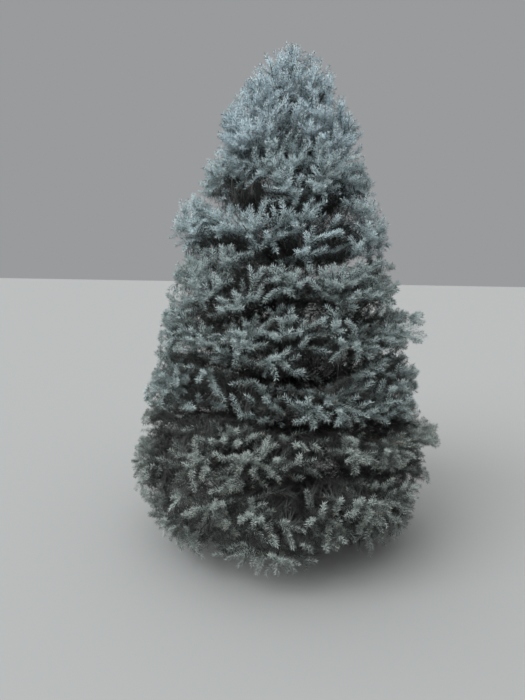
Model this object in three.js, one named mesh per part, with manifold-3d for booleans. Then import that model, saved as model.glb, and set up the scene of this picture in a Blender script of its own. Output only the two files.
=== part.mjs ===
// A young blue spruce, rooted in level ground: one trunk, whorls of boughs, and a dense mass of needle sprays
// on each bough. Millimetres and degrees, +Z up, origin at the middle of the flat cut under the trunk.
import * as THREE from "three";
import { mergeVertices } from "three/addons/utils/BufferGeometryUtils.js";
import loadManifold from "manifold-3d";

const wasm = await loadManifold();
wasm.setup();

// Driving dimensions of the crown
const TREE_HEIGHT = 2620;
const WIDEST_HEIGHT = 450;
const WIDEST_RADIUS = 840;
const CROWN_FULLNESS = 0.5; // below 1 the outline bulges outside a cone
const SKIRT_TUCK = 0.25; // share of its radius that the crown loses from its widest point down to the ground
const OUTLINE_SLACK = 24; // how far past the smooth outline a tip may stand
const GROUND_CLEARANCE = 60;

// Long shoots that stand out of the outline
const STRAYS = [
  { azimuth: 184, height: 1700, out: 55 },
  { azimuth: 352, height: 1265, out: 75 },
  { azimuth: 347, height: 620, out: 60 },
];
const STRAY_ROOT = 0.6; // place on the stem, in shares of the bough's length
const STRAY_MARGIN = 30;

// Trunk
const TRUNK_TOP = 2330;
const TRUNK_RADIUS = 36;
const TRUNK_TIP_RADIUS = 6.5;
const TRUNK_TAPER = 0.85;
const FLARE = 17;
const FLARE_HEIGHT = 60;
const ROOT_LOBES = 5;
const LOBE_DEPTH = 0.22;
const TRUNK_LEAN = 24;
const TRUNK_SWEEP = 7;
const DEPTH_SWEEP = 5; // the same along Y
const TRUNK_SIDES = 15;
const TRUNK_RINGS = [0, 22, 55, 105, 190, 400, 800, 1200, 1600, 2000, TRUNK_TOP];

// Whorls of boughs, from the lowest to the highest
const WHORL_COUNTS = [6, 6, 5, 5, 5, 4, 4, 3, 3, 3];
const BARE_WHORLS = 2; // the lowest whorls, whose boughs are bare near the trunk
const LOWEST_TIP = 175;
const HIGHEST_TIP = 2470;
const LOWEST_RISE = -60; // from a bough's foot to its tip
const HIGHEST_RISE = 300;
const BOUGH_SAG = 34;
const FIRST_TURN = 30;
const WHORL_TURN = 37;
const BARE_SHARE = 0.32; // of a bare bough's length, up to its mass
const BOUGH_RADIUS_PER_REACH = 0.016;
const BOUGH_TIP_SHARE = 0.3;
const BOUGH_SIDES = 6;
const BOUGH_STEPS = 2;
const SEAT_GAP = 0.3;

// What differs from bough to bough in one whorl
const TURN_VARIES = 0.07; // of the angle between two boughs
const REACH_SHARE = 0.98; // of the outline's radius
const REACH_VARIES = 0.03;
const LIFT_VARIES = 14;
const BEND_VARIES = 5;

// Stem of a mass
const STEM_END = 0.95; // of the bough's length
const STEM_SIDES = 3;
const STEM_STEPS = 4;

// Sprays on a stem
const SPRAY_STEP = 62; // between the sprays of one stem
const TOP_SPRAY_STEP = 44; // on the leader and the highest whorl
const FIRST_SPRAY = 0.46; // of the bough's length
const FIRST_LEADER_SPRAY = 0.1;
const LAST_SPRAY = 0.97;
const SPRAY_TURN = 137.5; // round the stem from each spray to the next
const SPRAY_TURN_VARIES = 20;
const SPRAY_ANGLE = 50; // from the stem
const SPRAY_ANGLE_VARIES = 8;
const SPRAY_FLATNESS = 0.9; // below 1 the sprays lean to the two sides of the stem
const END_SPRAY_BACK = 170; // how far before the stem's tip the last spray starts, at most
const END_SPRAY_SHARE = 0.3; // and at most this share of the stem

// Size of a spray
const LONGEST_SPRAY = 380;
const SHORTEST_SPRAY = 72;
const SHORTEST_INNER_SPRAY = 170; // a shorter one would stay hidden in the dense middle
const INNER_SHARE = 0.66; // of the bough's length
const SPRAY_FITS = [1, 0.9, 0.8, 0.7, 0.6]; // shares of the room, tried until the whole spray is in the space
const ROOM_STEP = 10;
const SUNK_ROOT = 22; // how far a spray starts behind the middle of its stem
const ROOT_ALLOWANCE = 33; // around its root a spray may leave the space, inside the stem
const STALK_SHARE = 0.3; // of a spray's length, bare inside the mass
const TOOTH_SPACING = 128;
const TOOTH_SWEEP = 0.85; // how far a tooth leans forward, in tooth steps
const TOOTH_TAPER = 0.4;
const SPRAY_HALF_WIDTH = 70;
const SLIMMEST_SHARE = 0.35; // of the half width, for a spray of no length
const SPRAY_HALF_DEPTH = 21;
const RIDGE_AHEAD = 10; // of the notches
const NOTCH_SHARE = 0.32; // of a tooth's reach that is left between two teeth
const LAST_NOTCH_SHARE = 0.22;
const SPACE_MARGIN = 5;

// The dense middle of a mass, in shares of the bough's length and of the room beside and over it
const CORE_START = 0.12;
const CORE_AFTER_BOUGH = 0.02;
const CORE_END = 0.82;
const CORE_WIDTH = 0.78;
const CORE_WIDEST = 0.8; // of the bough's reach, to each side
const CORE_DEPTH = 0.76;
const CORE_SIDES = 6;
const CORE_PROFILE = [[0, 0], [0.95, 0.1], [0.85, 0.62], [0.62, 0.88], [0, 1]]; // thickness and place on the stem
const CORE_ROUGHNESS = 0.2;
const CORE_FITS = [1, 0.85, 0.7, 0.55, 0.4];

const STEEP = 0.95; // rise of a limb's direction past which its sides are taken from +Y
const SEED = 11.7;
const WHORLS = WHORL_COUNTS.length;
const WHORL_SPACING = (HIGHEST_TIP - LOWEST_TIP) / (WHORLS - 1);
const UP = new THREE.Vector3(0, 0, 1);
const radians = THREE.MathUtils.degToRad;
const lerp = THREE.MathUtils.lerp;

// A number from 0 to 1 that depends only on the keys, so that each twig keeps its own chances.
function chance(...keys) {
  const weights = [127.1, 311.7, 74.7, 269.5, 183.3];
  const mixed = Math.sin(keys.reduce((sum, key, i) => sum + (key + 1) * weights[i], SEED)) * 43758.5453;
  return mixed - Math.floor(mixed);
}

const jitter = (range, ...keys) => (2 * chance(...keys) - 1) * range;

// Outline of the crown and the line of the trunk

function crownRadius(z) {
  if (z < WIDEST_HEIGHT) {
    return WIDEST_RADIUS * (1 - SKIRT_TUCK * ((WIDEST_HEIGHT - z) / WIDEST_HEIGHT) ** 2);
  }
  const left = (TREE_HEIGHT - z) / (TREE_HEIGHT - WIDEST_HEIGHT);
  return WIDEST_RADIUS * Math.max(left, 0) ** CROWN_FULLNESS;
}

function trunkAxis(z) {
  const t = z / TREE_HEIGHT;
  const sway = TRUNK_SWEEP * Math.sin(2 * Math.PI * t);
  return new THREE.Vector3(TRUNK_LEAN * t + sway, DEPTH_SWEEP * Math.sin(3 * Math.PI * t), z);
}

function trunkRadius(z) {
  const left = Math.max(1 - z / TRUNK_TOP, 0);
  const stem = lerp(TRUNK_TIP_RADIUS, TRUNK_RADIUS, left ** TRUNK_TAPER);
  return stem + FLARE * Math.exp(-z / FLARE_HEIGHT);
}

// Boughs: a whorl's boughs share one line in the plane of radius and height

function whorlOf(k) {
  const share = k / (WHORLS - 1);
  const tip = lerp(LOWEST_TIP, HIGHEST_TIP, share);
  const rise = lerp(LOWEST_RISE, HIGHEST_RISE, share);
  const turn = FIRST_TURN + WHORL_TURN * k;
  return { k, count: WHORL_COUNTS[k], tip, rise, foot: tip - rise, reach: crownRadius(tip), turn };
}

const WHORL_LIST = WHORL_COUNTS.map((_, k) => whorlOf(k));

function whorlHeight(whorl, rho) {
  const u = rho / whorl.reach;
  return whorl.foot + whorl.rise * u - 4 * BOUGH_SAG * u * (1 - u);
}

class BoughCurve extends THREE.Curve {
  constructor(whorl, index) {
    super();
    this.whorl = whorl;
    this.azimuth = whorl.turn + (360 / whorl.count) * (index + jitter(TURN_VARIES, whorl.k, index, 1));
    this.reach = whorl.reach * (REACH_SHARE + jitter(REACH_VARIES, whorl.k, index, 2));
    this.lift = jitter(LIFT_VARIES, whorl.k, index, 3);
    this.bend = jitter(BEND_VARIES, whorl.k, index, 4);
  }

  getPoint(u, target = new THREE.Vector3()) {
    const angle = radians(this.azimuth + this.bend * u * u);
    const foot = trunkAxis(this.whorl.foot);
    const rho = this.reach * u;
    const z = whorlHeight(this.whorl, this.whorl.reach * u) + this.lift;
    return target.set(foot.x + rho * Math.cos(angle), foot.y + rho * Math.sin(angle), z);
  }
}

// The leader carries the trunk's line on to the top of the tree.
class LeaderCurve extends THREE.Curve {
  getPoint(u, target = new THREE.Vector3()) {
    return target.copy(trunkAxis(lerp(TRUNK_TOP + SEAT_GAP, TREE_HEIGHT, u)));
  }
}

// Space of each mass: a sector of its whorl's layer, between the lines half way to the next whorls

function layerBounds(k, rho) {
  const own = whorlHeight(WHORL_LIST[k], rho);
  const below = k > 0 ? (own + whorlHeight(WHORL_LIST[k - 1], rho)) / 2 : GROUND_CLEARANCE;
  const above = k < WHORLS - 1 ? (own + whorlHeight(WHORL_LIST[k + 1], rho)) / 2 : own + WHORL_SPACING / 2;
  return [below, above];
}

function inSector(whorl, index, point, margin, slack = OUTLINE_SLACK) {
  const axis = trunkAxis(point.z);
  const [x, y] = [point.x - axis.x, point.y - axis.y];
  const rho = Math.hypot(x, y);
  if (rho < trunkRadius(point.z) + margin || rho > crownRadius(point.z) + slack) return false;
  const [below, above] = layerBounds(whorl.k, rho);
  if (point.z < below + margin || point.z > above - margin) return false;
  const middle = whorl.turn + (360 / whorl.count) * index;
  const turned = THREE.MathUtils.radToDeg(Math.atan2(y, x)) - middle;
  const off = radians(Math.abs(THREE.MathUtils.euclideanModulo(turned + 180, 360) - 180));
  const half = Math.PI / whorl.count;
  return off < half && rho * Math.sin(Math.min(half - off, Math.PI / 2)) > margin;
}

// The space over the highest whorl is the leader's.
function inLeaderSpace(point, margin) {
  const axis = trunkAxis(point.z);
  const rho = Math.hypot(point.x - axis.x, point.y - axis.y);
  if (point.z > TREE_HEIGHT || rho > crownRadius(point.z) + OUTLINE_SLACK) return false;
  return point.z > layerBounds(WHORLS - 1, rho)[1] + margin && point.z > TRUNK_TOP + margin;
}

// Solids

function solidOf(geometry) {
  const bare = geometry.clone();
  bare.deleteAttribute("normal");
  bare.deleteAttribute("uv");
  const merged = mergeVertices(bare, 1e-3);
  const kept = [];
  for (let i = 0; i < merged.index.count; i += 3) {
    const corners = [0, 1, 2].map((j) => merged.index.getX(i + j));
    if (new Set(corners).size === 3) kept.push(...corners);
  }
  return new wasm.Manifold(
    new wasm.Mesh({
      numProp: 3,
      vertProperties: new Float32Array(merged.attributes.position.array),
      triVerts: new Uint32Array(kept),
    }),
  );
}

function geometryOf(solid) {
  const { numProp, vertProperties, triVerts } = solid.getMesh();
  const positions = new Float32Array((vertProperties.length / numProp) * 3);
  for (let i = 0; i < positions.length / 3; i++) {
    positions.set(vertProperties.subarray(i * numProp, i * numProp + 3), i * 3);
  }
  const geometry = new THREE.BufferGeometry();
  geometry.setAttribute("position", new THREE.BufferAttribute(positions, 3));
  geometry.setIndex(new THREE.BufferAttribute(new Uint32Array(triVerts), 1));
  geometry.computeVertexNormals();
  return geometry;
}

// Side and upper directions across a limb that runs along the given direction.
function acrossOf(along) {
  const reference = Math.abs(along.z) > STEEP ? new THREE.Vector3(0, 1, 0) : UP;
  const side = new THREE.Vector3().crossVectors(along, reference).normalize();
  return { side, over: new THREE.Vector3().crossVectors(side, along) };
}

// A shape's vertices, whose axis is +Y from 0 to 1, laid along a curve from u0 to u1.
function layAlong(geometry, curve, u0, u1) {
  const position = geometry.attributes.position;
  for (let i = 0; i < position.count; i++) {
    const u = lerp(u0, u1, position.getY(i));
    const { side, over } = acrossOf(curve.getTangent(u));
    const point = curve
      .getPoint(u)
      .addScaledVector(side, position.getX(i))
      .addScaledVector(over, position.getZ(i));
    position.setXYZ(i, point.x, point.y, point.z);
  }
  return geometry;
}

function limbSolid(curve, u0, u1, footRadius, tipRadius, sides, steps) {
  const tube = new THREE.CylinderGeometry(tipRadius, footRadius, 1, sides, steps);
  tube.translate(0, 0.5, 0);
  return solidOf(layAlong(tube, curve, u0, u1));
}

// The outline of one side of a toothed blade along +Y: its root, a notch and a tooth for each side shoot, and
// its tip.
function bladeOutline(length, halfWidth, teeth) {
  const stalk = STALK_SHARE * length;
  const step = (length - stalk) / (teeth + 1);
  const outline = [new THREE.Vector2(0, -SUNK_ROOT)];
  for (let i = 0; i < teeth; i++) {
    const reach = halfWidth * (1 - TOOTH_TAPER * (i / teeth) ** 2);
    outline.push(new THREE.Vector2(NOTCH_SHARE * reach, stalk + i * step));
    outline.push(new THREE.Vector2(reach, stalk + (i + TOOTH_SWEEP) * step));
  }
  outline.push(new THREE.Vector2(LAST_NOTCH_SHARE * halfWidth, stalk + teeth * step));
  outline.push(new THREE.Vector2(0, length));
  return outline;
}

// A spray of needles: a toothed blade with a low ridge along both faces.
function spraySolid(root, direction, length, halfWidth) {
  const teeth = Math.max(1, Math.round(((1 - STALK_SHARE) * length) / TOOTH_SPACING));
  const outline = bladeOutline(length, halfWidth, teeth);
  const triangles = [];
  for (const side of [1, -1]) {
    for (const face of [1, -1]) {
      const corner = ({ x, y }) => new THREE.Vector3(side * x, y, 0);
      const ridge = (i) => new THREE.Vector3(0, outline[2 * i + 1].y + RIDGE_AHEAD, face * SPRAY_HALF_DEPTH);
      const add = (a, b, c) => triangles.push(...(side * face > 0 ? [a, b, c] : [a, c, b]));
      for (let j = 0; j < outline.length - 1; j++) {
        const middle = Math.min(Math.floor(Math.max(j - 1, 0) / 2), teeth - 1);
        add(corner(outline[j]), corner(outline[j + 1]), ridge(middle));
      }
      for (let i = 1; i < teeth; i++) add(corner(outline[2 * i + 1]), ridge(i), ridge(i - 1));
    }
  }
  const { side, over } = acrossOf(direction);
  const place = new THREE.Matrix4().makeBasis(side, direction, over).setPosition(root);
  return solidOf(new THREE.BufferGeometry().setFromPoints(triangles).applyMatrix4(place));
}

function cornersInside(solid, isInside) {
  const { numProp, vertProperties } = solid.getMesh();
  for (let i = 0; i < vertProperties.length; i += numProp) {
    if (!isInside(new THREE.Vector3(...vertProperties.subarray(i, i + 3)))) return false;
  }
  return true;
}

// Masses

// How far a spray can run from a point before its tip leaves the mass's space.
function roomAlong(root, direction, isInside) {
  const isFree = (length) => isInside(root.clone().addScaledVector(direction, length));
  let length = 0;
  while (length < LONGEST_SPRAY && isFree(length + ROOM_STEP)) length += ROOM_STEP;
  return length;
}

// The longest and widest spray that fits in the space, or none.
function fittingSpray(root, direction, shortest, isInside) {
  const room = roomAlong(root, direction, isInside);
  const isAllowed = (point) => isInside(point) || point.distanceTo(root) < ROOT_ALLOWANCE;
  for (const share of SPRAY_FITS) {
    const length = room * share;
    if (length < shortest) break;
    const halfWidth = SPRAY_HALF_WIDTH * Math.min(1, SLIMMEST_SHARE + length / LONGEST_SPRAY);
    const spray = spraySolid(root, direction, length, halfWidth);
    if (cornersInside(spray, isAllowed)) return [spray];
  }
  return [];
}

// A direction at an angle from the stem, turned round it.
function turnedFrom(along, angle, turn) {
  const { side, over } = acrossOf(along);
  const across = side.multiplyScalar(Math.cos(turn)).addScaledVector(over, SPRAY_FLATNESS * Math.sin(turn));
  return across.normalize().multiplyScalar(Math.sin(angle)).addScaledVector(along, Math.cos(angle));
}

// The sprays of one stem, from u0 to its tip, and the one that ends it.
function stemSprays(curve, u0, step, keys, isInside) {
  const count = Math.round((curve.getLength() * (1 - u0)) / step);
  const sprays = [];
  for (let i = 0; i < count; i++) {
    const u = lerp(u0, LAST_SPRAY, (i + 0.5) / count);
    const angle = radians(SPRAY_ANGLE + jitter(SPRAY_ANGLE_VARIES, ...keys, i, 5));
    const turn = radians(SPRAY_TURN * i + jitter(SPRAY_TURN_VARIES, ...keys, i, 6));
    const direction = turnedFrom(curve.getTangent(u), angle, turn);
    const shortest = u < INNER_SHARE ? SHORTEST_INNER_SPRAY : SHORTEST_SPRAY;
    sprays.push(...fittingSpray(curve.getPoint(u), direction, shortest, isInside));
  }
  const ahead = curve.getTangent(1);
  const back = Math.min(END_SPRAY_SHARE * curve.getLength(), END_SPRAY_BACK);
  const lastRoot = curve.getPoint(1).addScaledVector(ahead, -back);
  return [...sprays, ...fittingSpray(lastRoot, ahead, SHORTEST_SPRAY, isInside)];
}

// A long spray from the stem to each stray tip that lies in the mass's space.
function straySprays(curve, whorl, index) {
  const sprays = [];
  for (const { azimuth, height, out } of STRAYS) {
    const outward = new THREE.Vector3(Math.cos(radians(azimuth)), Math.sin(radians(azimuth)), 0);
    const tip = trunkAxis(height).addScaledVector(outward, crownRadius(height) + out);
    if (!inSector(whorl, index, tip, STRAY_MARGIN, out + 1)) continue;
    const root = curve.getPoint(STRAY_ROOT);
    const direction = tip.sub(root);
    const length = direction.length();
    sprays.push(spraySolid(root, direction.normalize(), length, SPRAY_HALF_WIDTH));
  }
  return sprays;
}

// The dense middle of a mass, which fills part of the room beside and over its stem.
function coreSolid(curve, whorl, u0, isInside) {
  const profile = CORE_PROFILE.map(([thickness, place]) => new THREE.Vector2(thickness, place));
  for (const shrink of CORE_FITS) {
    const lump = new THREE.LatheGeometry(profile, CORE_SIDES);
    const position = lump.attributes.position;
    for (let i = 0; i < position.count; i++) {
      const t = position.getY(i);
      const rho = curve.reach * lerp(u0, CORE_END, t);
      const room = rho * Math.tan(Math.PI / whorl.count);
      const [below, above] = layerBounds(whorl.k, rho);
      const turn = Math.atan2(position.getX(i), position.getZ(i)) / (2 * Math.PI);
      const isOdd = (Math.round(turn * CORE_SIDES) + Math.round(t * CORE_PROFILE.length)) % 2 !== 0;
      const rough = shrink * (1 + (isOdd ? CORE_ROUGHNESS : -CORE_ROUGHNESS));
      const halfWidth = CORE_WIDTH * rough * Math.min(room, CORE_WIDEST * whorl.reach);
      const halfDepth = (CORE_DEPTH * rough * (above - below)) / 2;
      position.setXYZ(i, position.getX(i) * halfWidth, t, position.getZ(i) * halfDepth);
    }
    const core = solidOf(layAlong(lump, curve, u0, CORE_END));
    if (cornersInside(core, isInside)) return [core];
  }
  return [];
}

function fuse(pieces) {
  const whole = wasm.Manifold.union(pieces);
  return whole.decompose().reduce((best, part) => (part.volume() > best.volume() ? part : best));
}

const BARK = new THREE.MeshStandardMaterial({ color: 0x6b5a4c, roughness: 0.95, metalness: 0 });
const NEEDLES = new THREE.MeshStandardMaterial({ color: 0x7d9691, roughness: 0.7, metalness: 0 });
const tree = new THREE.Group();

function addNode(name, solid, material) {
  const mesh = new THREE.Mesh(geometryOf(solid), material);
  mesh.name = name;
  tree.add(mesh);
}

function trunkSolid(allowance = 0) {
  const profile = TRUNK_RINGS.map((z) => new THREE.Vector2(trunkRadius(z) + allowance, z));
  const line = [new THREE.Vector2(0, 0), ...profile, new THREE.Vector2(0, TRUNK_TOP + allowance)];
  const turned = new THREE.LatheGeometry(line, TRUNK_SIDES).rotateX(Math.PI / 2);
  const position = turned.attributes.position;
  for (let i = 0; i < position.count; i++) {
    const [x, y, z] = [position.getX(i), position.getY(i), position.getZ(i)];
    const lobe = 1 + LOBE_DEPTH * Math.exp(-z / FLARE_HEIGHT) * Math.cos(ROOT_LOBES * Math.atan2(y, x));
    const axis = trunkAxis(z);
    position.setXYZ(i, x * lobe + axis.x, y * lobe + axis.y, z);
  }
  return solidOf(turned);
}

addNode("trunk", trunkSolid(), BARK);
const aroundTrunk = trunkSolid(SEAT_GAP);

function addBoughAndMass(whorl, index) {
  const curve = new BoughCurve(whorl, index);
  const footRadius = BOUGH_RADIUS_PER_REACH * curve.reach;
  const radiusAt = (u) => lerp(footRadius, footRadius * BOUGH_TIP_SHARE, u);
  const label = `${whorl.k + 1}_${index + 1}`;
  const isInside = (point) => inSector(whorl, index, point, SPACE_MARGIN);
  let start = 0;
  if (whorl.k < BARE_WHORLS) {
    const bough = limbSolid(curve, 0, BARE_SHARE, footRadius, radiusAt(BARE_SHARE), BOUGH_SIDES, BOUGH_STEPS);
    addNode(`bough_${label}`, fuse([bough.subtract(aroundTrunk)]), BARK);
    start = BARE_SHARE + SEAT_GAP / curve.getLength();
  }
  const stem = limbSolid(curve, start, STEM_END, radiusAt(start), radiusAt(STEM_END), STEM_SIDES, STEM_STEPS);
  const core = coreSolid(curve, whorl, Math.max(start + CORE_AFTER_BOUGH, CORE_START), isInside);
  const step = whorl.k < WHORLS - 1 ? SPRAY_STEP : TOP_SPRAY_STEP;
  const sprays = stemSprays(curve, Math.max(start, FIRST_SPRAY), step, [whorl.k, index], isInside);
  const mass = fuse([stem, ...core, ...sprays, ...straySprays(curve, whorl, index)]);
  addNode(`mass_${label}`, fuse([mass.subtract(aroundTrunk)]), NEEDLES);
}

function addLeader() {
  const curve = new LeaderCurve();
  const isInside = (point) => inLeaderSpace(point, SPACE_MARGIN);
  const tipRadius = TRUNK_TIP_RADIUS * BOUGH_TIP_SHARE;
  const stem = limbSolid(curve, 0, STEM_END, TRUNK_TIP_RADIUS, tipRadius, STEM_SIDES, STEM_STEPS);
  const sprays = stemSprays(curve, FIRST_LEADER_SPRAY, TOP_SPRAY_STEP, [WHORLS, 0], isInside);
  addNode("leader", fuse([stem, ...sprays]), NEEDLES);
}

for (const whorl of WHORL_LIST) {
  for (let index = 0; index < whorl.count; index++) addBoughAndMass(whorl, index);
}
addLeader();

export default tree;
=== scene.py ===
# A young blue spruce. Bark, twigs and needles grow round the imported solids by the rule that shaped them,
# carried on to finer twigs. Metres and degrees, +Z up, origin at the middle of the flat cut under the trunk.
import math

import bpy
import numpy as np
from mathutils import Matrix, Vector, noise


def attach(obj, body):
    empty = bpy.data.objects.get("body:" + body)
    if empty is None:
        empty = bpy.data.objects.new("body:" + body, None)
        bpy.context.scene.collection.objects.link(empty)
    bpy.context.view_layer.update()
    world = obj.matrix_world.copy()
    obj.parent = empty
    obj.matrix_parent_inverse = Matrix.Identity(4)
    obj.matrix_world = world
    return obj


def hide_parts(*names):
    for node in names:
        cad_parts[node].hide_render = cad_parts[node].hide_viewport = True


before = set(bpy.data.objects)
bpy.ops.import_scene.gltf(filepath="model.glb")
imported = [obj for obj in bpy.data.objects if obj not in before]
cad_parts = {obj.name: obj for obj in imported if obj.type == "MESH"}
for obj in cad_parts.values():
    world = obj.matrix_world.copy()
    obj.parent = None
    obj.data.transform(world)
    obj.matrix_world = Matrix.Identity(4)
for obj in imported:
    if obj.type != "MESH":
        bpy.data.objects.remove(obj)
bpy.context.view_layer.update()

# Outline of the crown, as in the solids
TREE_HEIGHT = 2.62
WIDEST_HEIGHT = 0.45
WIDEST_RADIUS = 0.84
CROWN_FULLNESS = 0.5
SKIRT_TUCK = 0.25
GROUND_CLEARANCE = 0.06
OUTLINE_SLACK = 0.008  # less than the solids', because needles stand past the twigs
SPACE_MARGIN = 0.005

# Roughness of the outline and of the tiers, which the solids don't have
SIDE_OVERLAP = 0.012  # how far the twigs of a mass may pass between its neighbours' in the whorl
DENT = 0.04  # of the outline between its furthest tips
DENT_TURNS = 7
DENT_WANDER = 2  # radians to the side, and back, on the way up
DENT_WANDERS_PER_METRE = 3  # in radians
DENTS_PER_METRE = 3.4
DENT_SLANT = 3  # turns of the rows of dents for one turn round the tree
TIER_SWAY = 0.045  # up and down of the bounds between the tiers, round the tree
FINE_TIER_SHARE = 0.5

# Waves round the tree: how many, and in radians how far they turn from whorl to whorl and where they start
TIER_WAVE = (3, 2.4, 0)
FINE_TIER_WAVE = (5, 4.1, 1)
CUT_WAVE = (5, 2.9, 0.27)
NOTCH_WAVE = (6, 1.7, 1.5)
NOTCH_VARIES = 0.7

# Long shoots that stand out of the outline: azimuth, height and how far out
STRAYS = [(184, 1.70, 0.055), (352, 1.265, 0.075), (347, 0.62, 0.06)]
STRAY_ROOT = 0.6
STRAY_MARGIN = 0.03
STRAY_TIP_SLACK = 0.001

# Trunk
TRUNK_TOP = 2.33
TRUNK_RADIUS = 0.036
TRUNK_TIP_RADIUS = 0.0065
TRUNK_TAPER = 0.85
FLARE = 0.017
FLARE_HEIGHT = 0.06
ROOT_LOBES = 5
LOBE_DEPTH = 0.22
TRUNK_LEAN = 0.024
TRUNK_SWEEP = 0.007
DEPTH_SWEEP = 0.005

# Whorls of boughs, from the lowest to the highest
WHORL_COUNTS = [6, 6, 5, 5, 5, 4, 4, 3, 3, 3]
WHORLS = len(WHORL_COUNTS)
BARE_WHORLS = 2
LOWEST_TIP = 0.175
HIGHEST_TIP = 2.47
LOWEST_RISE = -0.06
HIGHEST_RISE = 0.3
BOUGH_SAG = 0.034
FIRST_TURN = 30
WHORL_TURN = 37
BARE_SHARE = 0.32
BOUGH_RADIUS_PER_REACH = 0.016
BOUGH_TIP_SHARE = 0.3
TURN_VARIES = 0.07
REACH_SHARE = 0.98
REACH_VARIES = 0.03
LIFT_VARIES = 0.014
BEND_VARIES = 5
WHORL_SPACING = (HIGHEST_TIP - LOWEST_TIP) / (WHORLS - 1)

# Side twigs of a bough, as the solids' sprays
SPRAY_STEP = 0.062
TOP_SPRAY_STEP = 0.044
FIRST_SPRAY = 0.46
FIRST_LEADER_SPRAY = 0.1
LAST_SPRAY = 0.97
SPRAY_TURN = 137.5
SPRAY_TURN_VARIES = 20
SPRAY_ANGLE = 50
SPRAY_ANGLE_VARIES = 8
SPRAY_FLATNESS = 0.9
LONGEST_SPRAY = 0.38
ROOM_STEP = 0.01
SEED = 11.7

# Finer twigs
INNER_SPRAY = 0.14  # where the side twigs of a bough that isn't bare start, in shares of its length
INNER_STEP = 0.026
STEM_END = 0.72  # where a bough's own needles start, in shares of its length
GREEN_TRUNK = (1.8, 2.42)  # the heights between which the trunk has needles and shoots
GREEN_TRUNK_SHOOTS = (0.28, 0.82)  # how far they reach, in metres and in shares of the crown's radius
FRINGE_FLOOR = 0.14  # under this no green twigs grow but hanging shoots
FRINGE_DEPTH = 0.22
HANGING_FROM = [0.5, 0.75, 1]  # shares of a low twig's length that long shoots hang from
HANGING_SHOOT = 0.15
HANGING_SPACING = 0.06
HANGING_LEAN = 0.3  # to any side, for each length down
HANGING_AHEAD = 0.25  # along their twig
HANGING_AHEAD_VARIES = 0.2
YEAR_SHOOT = 0.088
YEAR_SHOOT_VARIES = 0.2
FIRST_SHOOT_SHARE = 0.8  # of a year shoot, for those beside a twig's tip
SHOOT_GAIN = 0.35  # from each set of side shoots to the next one back
SHORTEST_TWIG = 0.04
SHORTEST_PARENT = 0.08
NODE_STEP = 0.056  # along a twig, from one set of side shoots to the next
NODE_VARIES = 0.12  # of a step
LAST_NODE = 0.01  # before the twig's tip
FIRST_NODE = 0.2  # of the twig's length, bare of side shoots
SIDE_ANGLE = 50
END_ANGLE = 38  # of the shoots beside a twig's tip
SIDE_ANGLE_VARIES = 9
SIDE_TURN_VARIES = 24
SIDE_TURNS = [[15, 165, 90], [50, 200, 130], [90, -20, 165], [130, 15, 240]]  # round the twig, in sets
HANGING_TURNS = [[-90, -25, 205], [-60, -120, 180], [-100, 0, -150]]  # on the lowest whorl
LAST_LEVEL = 3
TIP_SPACING = 0.053  # between the tips of side shoots
FILL_SPACING = 0.07
FILL_DEPTH = 0.3
FILL_CELL = (0.25, 0.75)  # shares of a free cell between which a filling shoot ends in it
PASSED_AT = (0.4, 0.7, 1)  # shares of a twig's length that are taken for the cells it passes
# Whorls, and the gap between their rims and their layers' bounds
NOTCHES = [[0, 4, 6, 9], [0.03, 0.022, 0.008, 0.004]]
NOTCH_DEPTH = 0.065
# Whorls, and how far the rim of a tier stands out past its upper side, or in the high tiers past its lower
CUTS = [[0, 1, 4, 5, 6, 9], [0.03, 0.035, 0.06, 0.02, 0.04, 0.02]]
CUT_HEIGHT = 0.12
CUT_SHARE = 0.55  # of a cut, on average round the tree, and as much again more or less
FIRST_CUT_BELOW = 6  # the lowest whorl that is cut on its lower side
SHELL = 0.16  # depth of the crown's outside in which side shoots grow
DEEP_SHELL_FROM = 8  # the lowest whorl with a shell twice as deep
FILL_FROM = [0.3, 0.45, 0.6, 0.75, 0.9]  # shares of a twig's length that a filling shoot can leave it at
FILL_REACH = (0.045, 0.15)
FILL_BENDS = (0.25, 0.96)  # cosines of the most and the least angle between a filling shoot and its twig
DRY_LENGTHS = (0.06, 0.22)  # of bare twiglets at these two depths in the crown
DRY_DEPTHS = (0.05, 0.3)
DRY_LENGTH_VARIES = 0.06
DRY_RADIUS = 0.0012
DRY_RADIUS_PER_LENGTH = 0.011
DRY_DENSITIES = [[0, 2, 6, 9], [37000, 26000, 28000, 13000]]  # whorls, and their twiglets per cubic metre
DRY_BEND = 0.2
DRY_FROM = (0.1, 0.25, 0.4, 0.55, 0.7)  # shares of a twig's length that they leave it at
DRY_FROM_STEM = np.linspace(0.03, 0.95, 60)
DRY_PAD = 0.08  # round the box of these places
DRY_LENGTH_PER_HEIGHT = 0.5
DRY_HEIGHTS = [[0.1, 0.25], [0.1, 1]]  # heights between which the twiglets over the ground get denser
TRUNK_TWIGLETS = 2400
TRUNK_TWIGLET_HEIGHTS = (0.22, 2.2)
TRUNK_TWIGLET_LENGTHS = (0.12, 0.38)
TRUNK_TWIGLET_RISES = (-0.35, 0.35)
TRUNK_TWIGLET_SHARE = 0.6  # of the crown's radius, at most
BOTTOM_LIFT = -0.3  # how far a twig's tip turns up, in shares of its length, on the lowest whorl
LEVEL_LIFT = 0.0
LEVEL_WHORL = 3
TOP_LIFT = 0.34
TWIG_SWAY = 0.05  # of a twig's tip, in shares of its length
FITS = [1, 0.85, 0.7, 0.55]
TESTED_AT = (0.6, 0.8, 1)  # shares of a twig's length that have to be in its space
TWIG_RADIUS = 0.001
TWIG_RADIUS_PER_LENGTH = 0.0055
TWIG_TAPER = 0.6
TWIG_SIDES = 4
TWIG_STEPS = 3

# Buds: radius, and how far their foot, widest place and tip are past the twig's tip
BUD_RADIUS = 0.0026
BUD_FOOT = -0.003
BUD_WIDEST = 0.001
BUD_TIP = 0.007

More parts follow.
